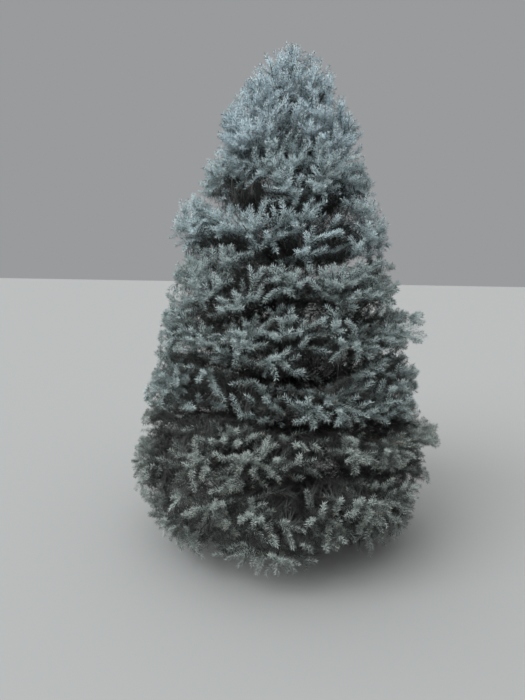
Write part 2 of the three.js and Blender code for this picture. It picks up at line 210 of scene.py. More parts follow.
# Needles
NEEDLE_LENGTH = 0.024
NEEDLE_WIDTH = 0.0035
NEEDLE_STEP = 0.00132
NEEDLE_TURN = 137.5
NEEDLE_TURN_VARIES = 25
NEEDLE_LENGTHS_VARY = (0.76, 1.08)
NEEDLE_SHORTENING = 0.2  # at the twig's tip
NEEDLE_BASE_ANGLE = 68
NEEDLE_TIP_ANGLE = 50
NEEDLE_ANGLE_VARIES = 16
NEEDLE_ROOT = 0.7  # of the twig's radius
BARE_FOOT = 0.12  # share of a side twig's length without needles, at its foot
BARE_SHOOT_FOOT = 0.04  # the same of a shoot's
NEEDLE_SWEEP_UP = 0.32
NEEDLE_WIDEST = 0.42
NEEDLE_FOLD = 0.34
NEEDLE_DEPTHS = [0.05, 0.17]  # depths in the crown between which the needles get fewer
DARK_NEEDLES = 0.15  # share of the needles that are one tint darker wherever they grow
OLD_NEEDLE_SHARES = {"low": 0.32, "middle": 0.24, "high": 0.45, "top": 0.9}
HANGS_BELOW = -0.35  # a needle whose direction from its twig has a height under this is on its lower side, and is dealt a tint darker as painted shade

# Bark
FLAKE_STRETCH = 1.9  # height of a flake for its width
CRACK_WIDTH = 0.28  # of a flake
FLAKE_WAVES = 0.25  # share of a flake's height
WAVES_PER_FLAKE = 0.6
TRUNK_SIDES = 72
TRUNK_FINE_TOP = 0.5  # up to here the rings of the trunk are a fine step apart
TRUNK_FINE_STEP = 0.006
TRUNK_UPPER_RINGS = 120
TRUNK_FLAKE = 0.011
TRUNK_RELIEF = 0.0016
TRUNK_RELIEF_PER_RADIUS = 0.06  # at most
TRUNK_RELIEF_LEVEL = 0.8  # height of the flakes that lies on the trunk's own radius
LIMB_SIDES = 10
LIMB_RINGS = 30
LIMB_END = 0.99
LIMB_RING_POWER = 1.15  # over 1 the rings are closer near the foot
FOOT_SWELLING = 0.55
FOOT_SWELLING_FALL = 14
THINNEST_LIMB = 0.0015
LIMB_FLAKE = 0.006
LIMB_RELIEF = 0.12  # of the limb's radius
LIMB_RELIEF_LEVEL = 0.6

# Camera, from the photograph's horizon and its upright lines; the picture is 525 by 700 pixels
EYE = (-0.10, -2.9, 1.55)
PITCH = 10
ROLL = 1
FOCAL_PIXELS = 526
LONG_SIDE_PIXELS = 700
SENSOR = 36

UP = np.array([0.0, 0.0, 1.0])
STEEP = 0.95  # rise of a direction past which its sides are taken from +Y
LOOKS_SEED = 5


def chance(*keys):
    """The solids' seeded number from 0 to 1 for these keys."""
    weights = (127.1, 311.7, 74.7, 269.5, 183.3)
    mixed = math.sin(SEED + sum((key + 1) * w for key, w in zip(keys, weights))) * 43758.5453
    return mixed - math.floor(mixed)


def jitter(spread, *keys):
    return (2 * chance(*keys) - 1) * spread


def lerp(a, b, t):
    return a + (b - a) * t


# Outline of the crown and the line of the trunk

def crown_radius(z):
    skirt = WIDEST_RADIUS * (1 - SKIRT_TUCK * ((WIDEST_HEIGHT - z) / WIDEST_HEIGHT) ** 2)
    left = np.clip((TREE_HEIGHT - z) / (TREE_HEIGHT - WIDEST_HEIGHT), 0, None)
    return np.where(z < WIDEST_HEIGHT, skirt, WIDEST_RADIUS * left**CROWN_FULLNESS)


def dent(z, angle):
    """How far the foliage stays inside the outline here."""
    across = np.sin(DENT_TURNS * angle + DENT_WANDER * np.sin(DENT_WANDERS_PER_METRE * z))
    upwards = np.sin(2 * np.pi * DENTS_PER_METRE * z + DENT_SLANT * angle)
    return DENT * (0.5 + 0.5 * (across * upwards))


def wave(shape, k, angle):
    """A wave round the tree, from -1 to 1, that stands elsewhere on each whorl."""
    turns, step, start = shape
    return np.sin(turns * angle + step * k + start)


def trunk_axis(z):
    z = np.asarray(z, float)
    t = z / TREE_HEIGHT
    x = TRUNK_LEAN * t + TRUNK_SWEEP * np.sin(2 * np.pi * t)
    return np.stack([x, DEPTH_SWEEP * np.sin(3 * np.pi * t), z], -1)


def trunk_radius(z):
    left = np.clip(1 - np.asarray(z, float) / TRUNK_TOP, 0, None)
    return lerp(TRUNK_TIP_RADIUS, TRUNK_RADIUS, left**TRUNK_TAPER) + FLARE * np.exp(-z / FLARE_HEIGHT)


# Boughs

class Whorl:
    def __init__(self, k):
        share = k / (WHORLS - 1)
        self.k = k
        self.count = WHORL_COUNTS[k]
        self.turn = FIRST_TURN + WHORL_TURN * k
        self.rise = lerp(LOWEST_RISE, HIGHEST_RISE, share)
        tip = lerp(LOWEST_TIP, HIGHEST_TIP, share)
        self.foot = tip - self.rise
        self.reach = float(crown_radius(tip))

    def height(self, rho):
        u = rho / self.reach
        return self.foot + self.rise * u - 4 * BOUGH_SAG * u * (1 - u)


WHORL_LIST = [Whorl(k) for k in range(WHORLS)]


def tier_shift(k, angle):
    """How far the bound under whorl k lies over or under its level at this angle."""
    return TIER_SWAY * (wave(TIER_WAVE, k, angle) + FINE_TIER_SHARE * wave(FINE_TIER_WAVE, k, angle))


def layer_bounds(k, rho, angle):
    own = WHORL_LIST[k].height(rho)
    below = (own + WHORL_LIST[k - 1].height(rho)) / 2 + tier_shift(k, angle) if k > 0 else GROUND_CLEARANCE
    above = (own + WHORL_LIST[k + 1].height(rho)) / 2 if k < WHORLS - 1 else own + WHORL_SPACING / 2
    return below, above + tier_shift(k + 1, angle)


class Stem:
    """A line with a point for each share of its length, from the trunk or the bough's foot to its tip."""

    def along(self, u):
        step = 1e-4
        ahead = self.point(min(u + step, 1)) - self.point(max(u - step, 0))
        return ahead / np.linalg.norm(ahead)

    def length(self):
        line = self.point(np.linspace(0, 1, 201))
        return float(np.linalg.norm(np.diff(line, axis=0), axis=1).sum())


class Bough(Stem):
    def __init__(self, whorl, index):
        self.whorl = whorl
        self.azimuth = whorl.turn + 360 / whorl.count * (index + jitter(TURN_VARIES, whorl.k, index, 1))
        self.reach = whorl.reach * (REACH_SHARE + jitter(REACH_VARIES, whorl.k, index, 2))
        self.lift = jitter(LIFT_VARIES, whorl.k, index, 3)
        self.bend = jitter(BEND_VARIES, whorl.k, index, 4)
        self.foot_radius = BOUGH_RADIUS_PER_REACH * self.reach

    def point(self, u):
        u = np.asarray(u, float)
        angle = np.radians(self.azimuth + self.bend * u * u)
        foot = trunk_axis(self.whorl.foot)
        z = self.whorl.height(self.whorl.reach * u) + self.lift
        x = foot[0] + self.reach * u * np.cos(angle)
        return np.stack([x, foot[1] + self.reach * u * np.sin(angle), z], -1)


class Leader(Stem):
    foot_radius = TRUNK_TIP_RADIUS

    def point(self, u):
        return trunk_axis(lerp(TRUNK_TOP, TREE_HEIGHT, np.asarray(u, float)))


class UpperTrunk(Stem):
    def point(self, u):
        return trunk_axis(lerp(GREEN_TRUNK[0], TRUNK_TOP, np.asarray(u, float)))


# Spaces

class Sector:
    """The space of one mass: a sector of its whorl's layer, whose bounds sway half way to the next whorls."""

    def __init__(self, whorl, index, margin=SPACE_MARGIN, slack=OUTLINE_SLACK, floor=0, side=-SIDE_OVERLAP):
        self.whorl = whorl
        self.middle = whorl.turn + 360 / whorl.count * index
        self.margin = margin
        self.slack = slack
        self.floor = floor
        self.side = side
        self.rough = slack == OUTLINE_SLACK  # the space of a stray has no dents and cuts
        self.notch = float(np.interp(whorl.k, *NOTCHES))
        self.cut = float(np.interp(whorl.k, *CUTS)) * self.rough

    def holds(self, points):
        z = points[:, 2]
        x, y = (points - trunk_axis(z))[:, :2].T
        rho = np.hypot(x, y)
        angle = np.arctan2(y, x)
        below, above = layer_bounds(self.whorl.k, rho, angle)
        turned = np.degrees(angle) - self.middle
        off = np.radians(np.abs((turned + 180) % 360 - 180))
        half = math.pi / self.whorl.count
        beside = rho * np.sin(np.minimum(half - off, math.pi / 2))
        outline = crown_radius(z)
        furthest = outline + self.slack - dent(z, angle) * self.rough
        edge = above - z if self.whorl.k < FIRST_CUT_BELOW else z - below
        cut = self.cut * (CUT_SHARE + CUT_SHARE * wave(CUT_WAVE, self.whorl.k, angle))
        furthest = furthest - cut * np.clip(1 - edge / CUT_HEIGHT, 0, 1)
        within = (rho > trunk_radius(z) + self.margin) & (rho < furthest)
        notch = self.notch * (1 + NOTCH_VARIES * wave(NOTCH_WAVE, self.whorl.k, angle))
        notch = self.margin + notch * np.clip(1 - (outline - rho) / NOTCH_DEPTH, 0, 1)
        lowest = np.maximum(below + np.where(self.whorl.k > 0, notch, self.margin), self.floor)
        return within & (z > lowest) & (z < above - notch) & (beside > self.side)


class Top:
    """The leader's space, over the highest whorl."""

    def holds(self, points):
        z = points[:, 2]
        x, y = (points - trunk_axis(z))[:, :2].T
        rho = np.hypot(x, y)
        angle = np.arctan2(y, x)
        above = layer_bounds(WHORLS - 1, rho, angle)[1]
        furthest = crown_radius(z) + OUTLINE_SLACK - dent(z, angle)
        return (z < TREE_HEIGHT) & (rho < furthest) & (z > above) & (z > TRUNK_TOP)


class Core:
    """The space round the upper trunk, between the feet of the boughs."""

    def holds(self, points):
        z = points[:, 2]
        rho = np.hypot(*(points - trunk_axis(z))[:, :2].T)
        furthest = np.minimum(GREEN_TRUNK_SHOOTS[0], GREEN_TRUNK_SHOOTS[1] * crown_radius(z))
        return (z > GREEN_TRUNK[0]) & (z < GREEN_TRUNK[1]) & (rho > trunk_radius(z)) & (rho < furthest)


def room_along(root, direction, wanted, space):
    """How far a straight twig can run in the space, up to the wanted length."""
    lengths = np.arange(1, math.ceil(wanted / ROOM_STEP) + 1) * ROOM_STEP
    free = space.holds(root + direction * lengths[:, None])
    return wanted if free.all() else float(np.argmin(free)) * ROOM_STEP


# Twigs

def across_of(along):
    """Side and upper directions across each of these directions."""
    along = np.atleast_2d(along)
    reference = np.where(np.abs(along[:, 2:]) > STEEP, [0.0, 1.0, 0.0], UP)
    side = np.cross(along, reference)
    side /= np.linalg.norm(side, axis=1, keepdims=True)
    return side, np.cross(side, along)


def turned_from(along, angle, turn, flatness=SPRAY_FLATNESS):
    side, over = (direction[0] for direction in across_of(along))
    across = side * math.cos(math.radians(turn)) + over * flatness * math.sin(math.radians(turn))
    across /= np.linalg.norm(across)
    return across * math.sin(math.radians(angle)) + along * math.cos(math.radians(angle))


class Twig:
    """One twig. Its line is root + run * t + bend * t * t, for t from 0 to 1."""

    def __init__(self, root, run, bend, level, space):
        self.root, self.run, self.bend, self.level, self.space = root, run, bend, level, space
        self.length = float(np.linalg.norm(run + bend / 2))
        self.radius = TWIG_RADIUS + TWIG_RADIUS_PER_LENGTH * self.length

    def point(self, t):
        return self.root + self.run * t + self.bend * t * t

    def along(self, t):
        ahead = self.run + 2 * self.bend * t
        return ahead / np.linalg.norm(ahead)


def depth(points):
    """How far inside the outline of the crown these points are, measured level."""
    points = np.atleast_2d(points)
    z = points[:, 2]
    return crown_radius(z) - np.hypot(*(points - trunk_axis(z))[:, :2].T)


def tip_lift(k):
    """How far the tips of the twigs of whorl k turn up."""
    return float(np.interp(k, [0, LEVEL_WHORL, WHORLS], [BOTTOM_LIFT, LEVEL_LIFT, TOP_LIFT]))


class Growth:
    """All twigs of one mass, grown by a seeded rule inside its space."""

    def __init__(self, space, k, keys):
        self.space = space
        self.k = k
        self.lift = tip_lift(k)
        self.draws = np.random.default_rng([round(SEED * 10), *keys])
        self.twigs = []
        self.dry = (np.zeros((0, 3)), np.zeros((0, 3)))
        self.taken = set()

    def varies(self, spread):
        return self.draws.uniform(-spread, spread)

    def cell(self, point):
        return tuple(np.floor(point / TIP_SPACING).astype(int))

    def grow(self, root, direction, wanted, level, space=None):
        """Adds the longest twig up to the wanted length whose tip stays in the space and has room."""
        space = space or self.space
        longest = room_along(root, direction, wanted, space)
        sway = np.array([self.varies(TWIG_SWAY) for _ in range(3)]) + [0, 0, self.lift]
        for fit in FITS:
            length = longest * fit
            if length < SHORTEST_TWIG:
                return
            twig = Twig(root, direction * length, sway * length, level, space)
            cell = self.cell(twig.point(1))
            has_room = level == 1 or cell not in self.taken
            if has_room and space.holds(np.stack([twig.point(t) for t in TESTED_AT])).all():
                self.taken.add(cell)
                self.twigs.append(twig)
                return

    def stem_twigs(self, stem, start, step, keys):
        """The solids' sprays as twigs."""
        count = round(stem.length() * (1 - start) / step)
        for i in range(count):
            u = lerp(start, LAST_SPRAY, (i + 0.5) / count)
            angle = SPRAY_ANGLE + jitter(SPRAY_ANGLE_VARIES, *keys, i, 5)
            turn = SPRAY_TURN * i + jitter(SPRAY_TURN_VARIES, *keys, i, 6)
            self.grow(stem.point(u), turned_from(stem.along(u), angle, turn), LONGEST_SPRAY, 1)

    def inner_twigs(self, stem, start, step=INNER_STEP):
        """Twigs all along the stem that fill the middle of the mass up to its neighbours above and below."""
        count = round(stem.length() * (LAST_SPRAY - start) / step)
        for i in range(count):
            u = lerp(start, LAST_SPRAY, (i + 0.5) / count)
            angle = SPRAY_ANGLE + self.varies(SPRAY_ANGLE_VARIES)
            turn = SPRAY_TURN * i + self.varies(SPRAY_TURN_VARIES)
            self.grow(stem.point(u), turned_from(stem.along(u), angle, turn), LONGEST_SPRAY, 1)

    def stray_twigs(self, bough, index):
        """The long shoots whose tips lie well inside this mass's own sector."""
        for azimuth, height, out in STRAYS:
            outward = np.array([math.cos(math.radians(azimuth)), math.sin(math.radians(azimuth)), 0])
            tip = trunk_axis(height) + outward * (crown_radius(height) + out)
            own = Sector(bough.whorl, index, STRAY_MARGIN, out + STRAY_TIP_SLACK, side=STRAY_MARGIN)
            if not own.holds(tip[None]).all():
                continue
            root = bough.point(STRAY_ROOT)
            reach = np.linalg.norm(tip - root)
            space = Sector(bough.whorl, index, SPACE_MARGIN, out)
            self.grow(root, (tip - root) / reach, reach, 1, space)

    def side_shoots(self):
        """Year shoots beside the twigs, in sets at even steps back from their tips, level after level."""
        shell = SHELL * 2 if self.k >= DEEP_SHELL_FROM else SHELL
        for level in range(1, LAST_LEVEL):
            parents = [twig for twig in self.twigs if twig.level == level and twig.length > SHORTEST_PARENT]
            for twig in parents:
                for node in range(int(twig.length / NODE_STEP) + 1):
                    t = 1 - (LAST_NODE + NODE_STEP * (node + self.varies(NODE_VARIES))) / twig.length
                    if t > FIRST_NODE and depth(twig.point(t))[0] < shell:
                        self.shoots_round(twig, t, node)

    def shoots_round(self, twig, t, node):
        sets = SIDE_TURNS + HANGING_TURNS if self.k == 0 else SIDE_TURNS
        for turn in sets[self.draws.integers(len(sets))]:
            angle = (END_ANGLE if node == 0 else SIDE_ANGLE) + self.varies(SIDE_ANGLE_VARIES)
            turn = turn + self.varies(SIDE_TURN_VARIES)
            direction = turned_from(twig.along(t), angle, turn, 1)
            share = FIRST_SHOOT_SHARE + SHOOT_GAIN * node
            wanted = YEAR_SHOOT * share * (1 + self.varies(YEAR_SHOOT_VARIES))
            self.grow(twig.point(t), direction, wanted, twig.level + 1, twig.space)

    def free_places(self):
        """A place in each cell near the outline that no twig passes, from the inside outwards."""
        passed = np.concatenate([[twig.point(t) for twig in self.twigs] for t in PASSED_AT])
        passed = {tuple(cell) for cell in np.floor(passed / FILL_SPACING).astype(int)}
        spans = [np.arange(min(along) - 1, max(along) + 2) for along in zip(*passed)]
        cells = np.stack(np.meshgrid(*spans, indexing="ij"), -1)
        cells = np.array([cell for cell in cells.reshape(-1, 3) if tuple(cell) not in passed])
        places = (cells + self.draws.uniform(*FILL_CELL, cells.shape)) * FILL_SPACING
        places = places[self.space.holds(places) & (depth(places) < FILL_DEPTH)]
        return places[np.argsort(-depth(places))]

    def fill(self):
        """Shoots into the room left near the outline, each from the nearest twig it can leave forwards."""
        roots = np.stack([twig.point(t) for twig in self.twigs for t in FILL_FROM])
        ahead = np.stack([twig.along(t) for twig in self.twigs for t in FILL_FROM])
        for place in self.free_places():
            runs = place - roots
            lengths = np.linalg.norm(runs, axis=1)
            bends = (runs * ahead).sum(1) / lengths
            good = (lengths > FILL_REACH[0]) & (lengths < FILL_REACH[1])
            good &= (bends > FILL_BENDS[0]) & (bends < FILL_BENDS[1])
            if good.any():
                best = np.argmin(np.where(good, lengths, np.inf))
                self.grow(roots[best], runs[best] / lengths[best], lengths[best], LAST_LEVEL)

    def hanging_shoots(self, space):
        """Long shoots that hang like fingers from the outer ends of the lowest twigs."""
        hung = []
        for twig in [twig for twig in self.twigs if twig.level == 1]:
            for t in HANGING_FROM:
                root = twig.point(t)
                crowded = any(np.linalg.norm(root - other) < HANGING_SPACING for other in hung)
                if depth(root)[0] > FRINGE_DEPTH or crowded:
                    continue
                hung.append(root)
                lean = np.array([self.varies(HANGING_LEAN), self.varies(HANGING_LEAN), -1])
                direction = lean + twig.along(t) * (HANGING_AHEAD + self.varies(HANGING_AHEAD_VARIES))
                self.grow(root, direction / np.linalg.norm(direction), HANGING_SHOOT, LAST_LEVEL, space)

    def stem_end(self, stem, start):
        """The outer part of the stem as a twig, so that it has needles too."""
        root, middle, tip = (stem.point(u) for u in (start, (start + 1) / 2, 1))
        bend = 2 * (tip - root) - 4 * (middle - root)
        self.twigs.append(Twig(root, tip - root - bend, bend, 1, self.space))

    def dry_twigs(self, stem, space):
        """Bare twiglets to places evenly spread in the dark inside, as arrays of their roots and runs."""
        starts = [(stem, float(u)) for u in DRY_FROM_STEM]
        starts += [(twig, t) for twig in self.twigs for t in DRY_FROM]
        roots = np.array([limb.point(t) for limb, t in starts])
        ahead = np.array([limb.along(t) for limb, t in starts])
        low, high = roots.min(0) - DRY_PAD, roots.max(0) + DRY_PAD
        count = int(np.prod(high - low) * np.interp(self.k, *DRY_DENSITIES))
        places = self.draws.uniform(low, high, (count, 3))
        places = places[space.holds(places) & (depth(places) > DRY_DEPTHS[0])]
        places = places[self.draws.random(len(places)) < np.interp(places[:, 2], *DRY_HEIGHTS)]
        runs = places[:, None] - roots
        lengths = np.linalg.norm(runs, axis=2)
        bends = (runs * ahead).sum(2) / lengths
        wanted = np.interp(depth(places), DRY_DEPTHS, DRY_LENGTHS)
        wanted = np.minimum(wanted, DRY_LENGTH_PER_HEIGHT * places[:, 2])
        worth = np.abs(lengths - wanted[:, None]) + self.draws.uniform(0, DRY_LENGTH_VARIES, lengths.shape)
        worth = np.where(bends > DRY_BEND, worth, np.inf)
        best = worth.argmin(1)
        kept = worth.min(1) < DRY_LENGTHS[0] + DRY_LENGTH_VARIES / 2
        return roots[best[kept]], (places - roots[best])[kept]


def trunk_twiglets(draws):
    """Bare twiglets on the trunk between the boughs, as arrays of their roots and runs."""
    height = np.sort(draws.uniform(*TRUNK_TWIGLET_HEIGHTS, TRUNK_TWIGLETS))
    turn = np.radians(NEEDLE_TURN * np.arange(TRUNK_TWIGLETS))
    rise = draws.uniform(*TRUNK_TWIGLET_RISES, TRUNK_TWIGLETS)
    length = draws.uniform(*TRUNK_TWIGLET_LENGTHS, TRUNK_TWIGLETS)
    length = np.minimum(length, crown_radius(height) * TRUNK_TWIGLET_SHARE)
    runs = np.stack([np.cos(turn), np.sin(turn), rise], -1) * length[:, None]
    return trunk_axis(height), runs


def grow_mass(bough, index):
    """All twigs on one bough. On the lowest whorl its green side twigs stay over the fringe's floor."""
    k = bough.whorl.k
    whole = Sector(bough.whorl, index)
    growth = Growth(Sector(bough.whorl, index, floor=FRINGE_FLOOR) if k == 0 else whole, k, [k, index])
    step = SPRAY_STEP if k < WHORLS - 1 else TOP_SPRAY_STEP
    bare = BARE_SHARE if k < BARE_WHORLS else INNER_SPRAY
    if k > 0:
        growth.stem_end(bough, STEM_END)
    growth.stray_twigs(bough, index)
    growth.stem_twigs(bough, FIRST_SPRAY, step, [k, index])
    growth.inner_twigs(bough, bare)
    if k == 0:
        growth.hanging_shoots(whole)
    growth.side_shoots()
    growth.fill()
    growth.dry = growth.dry_twigs(bough, whole)
    return growth


def grow_upper_trunk():
    """Shoots straight from the trunk, which close the middle of the thin crown there."""
    growth = Growth(Core(), WHORLS, [WHORLS, 1])
    growth.stem_end(UpperTrunk(), 0)
    growth.inner_twigs(UpperTrunk(), 0, INNER_STEP / 2)
    growth.side_shoots()
    return growth


def grow_leader(leader):
    growth = Growth(Top(), WHORLS, [WHORLS, 0])
    growth.stem_end(leader, 0)
    growth.stem_twigs(leader, FIRST_LEADER_SPRAY, TOP_SPRAY_STEP, [WHORLS, 0])
    growth.side_shoots()
    growth.fill()
    growth.dry = growth.dry_twigs(leader, Top())
    return growth


# Meshes

def mesh_object(name, vertices, faces, material, smooth=False):
    """An object from an array of points and arrays of faces with three or four corners."""
    mesh = bpy.data.meshes.new(name)
    corners = np.concatenate([f.ravel() for f in faces]).astype(np.int32)
    sizes = np.concatenate([np.full(len(f), f.shape[1]) for f in faces])
    starts = np.concatenate([[0], np.cumsum(sizes)[:-1]]).astype(np.int32)
    mesh.vertices.add(len(vertices))
    mesh.vertices.foreach_set("co", np.asarray(vertices, np.float32).ravel())
    mesh.loops.add(len(corners))
    mesh.loops.foreach_set("vertex_index", corners)
    mesh.polygons.add(len(starts))
    mesh.polygons.foreach_set("loop_start", starts)
    mesh.polygons.foreach_set("use_smooth", np.full(len(starts), smooth))
    mesh.update(calc_edges=True)
    mesh.materials.append(material)
    piece = bpy.data.objects.new(name, mesh)
    bpy.context.scene.collection.objects.link(piece)
    return piece


def rings_round(lines, radii, sides):
    """Rings of points round each of several lines of equal numbers of points."""
    ahead = np.gradient(lines, axis=1)
    ahead /= np.linalg.norm(ahead, axis=2, keepdims=True)
    side, over = across_of(ahead.reshape(-1, 3))
    side, over = side.reshape(ahead.shape), over.reshape(ahead.shape)
    turn = 2 * np.pi * np.arange(sides) / sides
    across = side[:, :, None] * np.cos(turn)[:, None] + over[:, :, None] * np.sin(turn)[:, None]
    return lines[:, :, None] + across * radii[:, :, None, None]


def tube_faces(tubes, rings, sides):
    """Four-cornered faces between the rings, and a fan that closes each tube's tip on its last ring."""
    base = np.arange(tubes)[:, None, None] * rings * sides
    ring = np.arange(rings - 1)[None, :, None] * sides
    here = np.arange(sides)[None, None, :]
    there = (here + 1) % sides
    low, high = base + ring, base + ring + sides
    walls = np.stack([low + here, low + there, high + there, high + here], -1).reshape(-1, 4)
    last = base[:, 0] + (rings - 1) * sides
    fan = [np.stack([last[:, 0], last[:, 0] + i, last[:, 0] + i + 1], -1) for i in range(1, sides - 1)]
    return [walls, np.concatenate(fan)]


def spikes(roots, tips, radius):
    """Corners and faces of three-sided spikes, for thin twigs."""
    side, over = across_of(tips - roots)
    turns = 2 * np.pi * np.arange(3) / 3
    corners = [roots + (side * math.cos(turn) + over * math.sin(turn)) * radius for turn in turns]
    first = np.arange(len(roots))[:, None] * 4
    faces = np.concatenate([first + [i, (i + 1) % 3, 3] for i in range(3)])
    return np.stack([*corners, tips], 1).reshape(-1, 3), faces


def twig_mesh(name, twigs, material):
    """The side twigs of the boughs as tubes, and finer ones as spikes."""
    thick = [twig for twig in twigs if twig.level == 1]
    t = np.linspace(0, 1, TWIG_STEPS + 1)
    lines = np.stack([twig.root + np.outer(t, twig.run) + np.outer(t * t, twig.bend) for twig in thick])
    radii = np.stack([twig.radius * (1 - TWIG_TAPER * t) for twig in thick])
    vertices = rings_round(lines, radii, TWIG_SIDES).reshape(-1, 3)
    faces = tube_faces(len(lines), TWIG_STEPS + 1, TWIG_SIDES)
    thin = [twig for twig in twigs if twig.level > 1]
    roots = np.stack([twig.root for twig in thin])
    tips = np.stack([twig.point(1) for twig in thin])
    radius = np.array([twig.radius for twig in thin])
    thin_vertices, thin_faces = spikes(roots, tips, radius[:, None])
    faces.append(thin_faces + len(vertices))
    return mesh_object(name, np.concatenate([vertices, thin_vertices]), faces, material)


def twiglet_mesh(name, roots, runs, material):
    """The bare twiglets of the crown's inside, thicker where they are longer."""
    radius = DRY_RADIUS + DRY_RADIUS_PER_LENGTH * np.linalg.norm(runs, axis=1, keepdims=True)
    vertices, faces = spikes(roots, roots + runs, radius)
    return mesh_object(name, vertices, [faces], material)


def needles_on(twigs, old_share, draws):
    """Needles all round the twigs, each a narrow leaf of two faces folded along its length.

    Gives their four corners, the number of the twig that each grows on, and whether it is a tint darker: a
    random share are, and so are those on the twig's lower side, as painted shade.
    """
    bare = np.array([BARE_FOOT if twig.level == 1 else BARE_SHOOT_FOOT for twig in twigs])
    counts = np.array([round(twig.length * (1 - b) / NEEDLE_STEP) for twig, b in zip(twigs, bare)])
    owner = np.repeat(np.arange(len(twigs)), counts)
    number = np.arange(len(owner)) - np.repeat(np.cumsum(counts) - counts, counts)
    t = lerp(bare[owner], 1, (number + draws.random(len(owner))) / counts[owner])[:, None]
    run = np.stack([twig.run for twig in twigs])[owner]
    bend = np.stack([twig.bend for twig in twigs])[owner]
    middle = np.stack([twig.root for twig in twigs])[owner] + run * t + bend * t * t
    kept = draws.random(len(owner)) < np.interp(depth(middle), NEEDLE_DEPTHS, [1, old_share])
    owner, number, t, run, bend, middle = (values[kept] for values in (owner, number, t, run, bend, middle))
    ahead = run + 2 * bend * t
    ahead /= np.linalg.norm(ahead, axis=1, keepdims=True)
    side, over = across_of(ahead)
    turn = NEEDLE_TURN * number + draws.uniform(-NEEDLE_TURN_VARIES, NEEDLE_TURN_VARIES, len(owner))
    turn = np.radians(turn)[:, None]
    outward = side * np.cos(turn) + over * (np.sin(turn) + NEEDLE_SWEEP_UP)
    outward /= np.linalg.norm(outward, axis=1, keepdims=True)
    angle = lerp(NEEDLE_BASE_ANGLE, NEEDLE_TIP_ANGLE, t**6)
    angle = np.radians(angle + draws.uniform(-1, 1, t.shape) * NEEDLE_ANGLE_VARIES)
    point = ahead * np.cos(angle) + outward * np.sin(angle)
    flat = np.cross(point, outward + ahead)
    flat /= np.linalg.norm(flat, axis=1, keepdims=True)
    ridge = np.cross(flat, point)
    length = NEEDLE_LENGTH * draws.uniform(*NEEDLE_LENGTHS_VARY, t.shape) * (1 - NEEDLE_SHORTENING * t**8)
    radius = np.array([twig.radius for twig in twigs])[owner][:, None] * (1 - TWIG_TAPER * t)
    root = middle + outward * radius * NEEDLE_ROOT
    belly = root + point * length * NEEDLE_WIDEST - ridge * NEEDLE_WIDTH * NEEDLE_FOLD
    corners = [root, belly - flat * NEEDLE_WIDTH / 2, root + point * length, belly + flat * NEEDLE_WIDTH / 2]
    # painted shade: needles on the lower side of their twig are a tint darker, besides a random share
    darker = (outward[:, 2] < HANGS_BELOW) | (draws.random(len(owner)) < DARK_NEEDLES)
    return np.stack(corners, 1), owner, darker


def needle_mesh(name, corners, material):
    first = np.arange(len(corners))[:, None] * 4
    faces = np.concatenate([first + [0, 1, 2], first + [0, 2, 3]])
    return mesh_object(name, corners.reshape(-1, 3), [faces], material)


def bud_mesh(name, twigs, material):
    """A small pointed bud on the tip of each twig, with three sides above and below its widest place."""
    tips = np.stack([twig.point(1) for twig in twigs])
    ahead = np.stack([twig.along(1) for twig in twigs])
    side, over = across_of(ahead)
    turns = 2 * np.pi * np.arange(3) / 3
    ring = [side * math.cos(turn) + over * math.sin(turn) for turn in turns]
    corners = [tips + ahead * BUD_FOOT, tips + ahead * BUD_TIP]
    corners += [tips + ahead * BUD_WIDEST + direction * BUD_RADIUS for direction in ring]
    first = np.arange(len(twigs))[:, None] * 5
    faces = [first + [0, 2 + (i + 1) % 3, 2 + i] for i in range(3)]
    faces += [first + [1, 2 + i, 2 + (i + 1) % 3] for i in range(3)]
    return mesh_object(name, np.stack(corners, 1).reshape(-1, 3), [np.concatenate(faces)], material)


# Trunk and boughs

def flakes(point, size):
    """Height of the bark's flakes at a point, from 0 in the cracks to 1."""
    stretched = Vector((point[0] / size, point[1] / size, point[2] / size / FLAKE_STRETCH))
    distances, _ = noise.voronoi(stretched)
    crack = min((distances[1] - distances[0]) / CRACK_WIDTH, 1)
    return crack * (1 - FLAKE_WAVES + FLAKE_WAVES * noise.noise(stretched * WAVES_PER_FLAKE))


def trunk_mesh(material):
    """The trunk with its root flare, closed under its foot."""
    fine = np.arange(0, TRUNK_FINE_TOP, TRUNK_FINE_STEP)
    heights = np.concatenate([fine, np.linspace(TRUNK_FINE_TOP, TRUNK_TOP, TRUNK_UPPER_RINGS)])
    turn = 2 * np.pi * np.arange(TRUNK_SIDES) / TRUNK_SIDES
    lobe = 1 + LOBE_DEPTH * np.exp(-heights / FLARE_HEIGHT)[:, None] * np.cos(ROOT_LOBES * turn)
    radius = trunk_radius(heights)[:, None] * lobe
    axis = trunk_axis(heights)
    outward = np.stack([np.cos(turn), np.sin(turn), np.zeros(TRUNK_SIDES)], -1)
    points = axis[:, None] + outward * radius[:, :, None]
    relief = np.array([[flakes(point, TRUNK_FLAKE) for point in row] for row in points])
    deep = np.minimum(TRUNK_RELIEF, TRUNK_RELIEF_PER_RADIUS * radius)
    points = points + outward * ((relief - TRUNK_RELIEF_LEVEL) * deep)[:, :, None]
    faces = tube_faces(1, len(heights), TRUNK_SIDES)
    foot = np.array([[0, i + 1, i] for i in range(1, TRUNK_SIDES - 1)])
    return mesh_object("trunk_bark", points.reshape(-1, 3), [*faces, foot], material, smooth=True)


